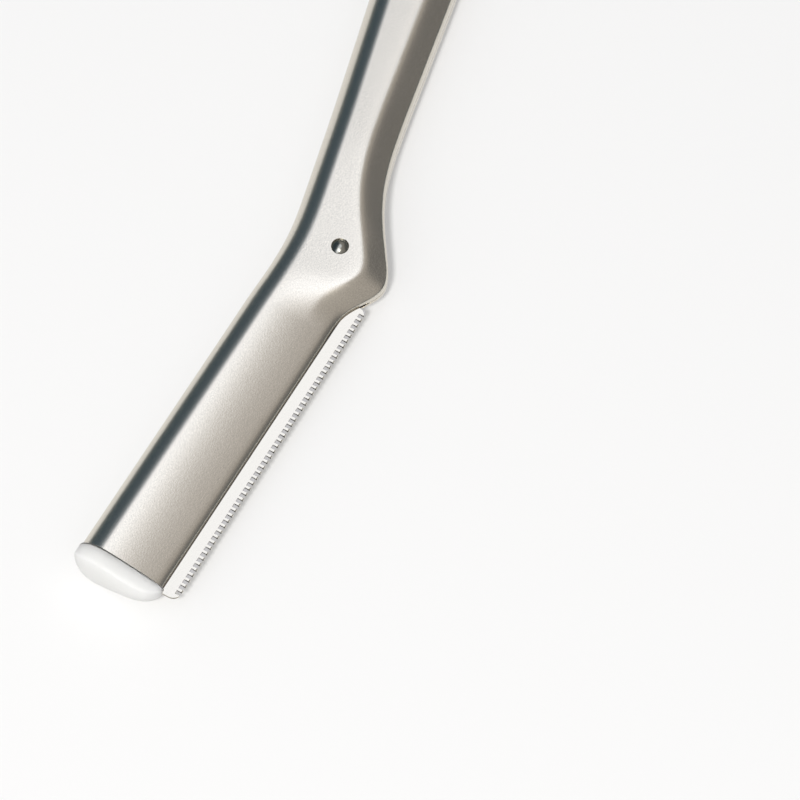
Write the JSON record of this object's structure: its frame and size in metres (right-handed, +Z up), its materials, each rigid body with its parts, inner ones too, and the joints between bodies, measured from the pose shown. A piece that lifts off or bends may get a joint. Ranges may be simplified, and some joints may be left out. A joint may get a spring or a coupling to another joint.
{
  "type": "eyebrow razor",
  "caption": "Slim hand razor: a folded steel sleeve on a slightly angled handle, with a guarded straight blade in a frosted cartridge that slides out of its tip.",
  "frame": {"origin": "on the flat underside of the handle, on its middle line, a fifth of the straight handle behind the bend", "axes": "+X along the sleeve towards the tip, the way the cartridge slides out; +Y from the spine to the cutting edge; +Z up from the face that it rests on"},
  "size_m": [0.1412, 0.0347, 0.0053],
  "materials": {
    "satin_steel": "fine bead-blasted satin",
    "polished_steel": "mirror polished",
    "frosted_plastic": "frosted, slightly see-through"
  },
  "bodies": {
    "handle": {"handle_shell": "satin_steel", "neck_pin": "polished_steel", "spacer_bush": "satin_steel", "tail_plug": "frosted_plastic"},
    "cartridge": {"blade_carrier": "frosted_plastic", "carrier_clamp": "frosted_plastic", "blade": "polished_steel", "guard_foil": "polished_steel"}
  },
  "joints": [
    {"name": "cartridge_slide", "type": "slide", "parent": "handle", "child": "cartridge", "axis": [1, 0, 0], "range_m": [0, 0.044]}
  ]
}
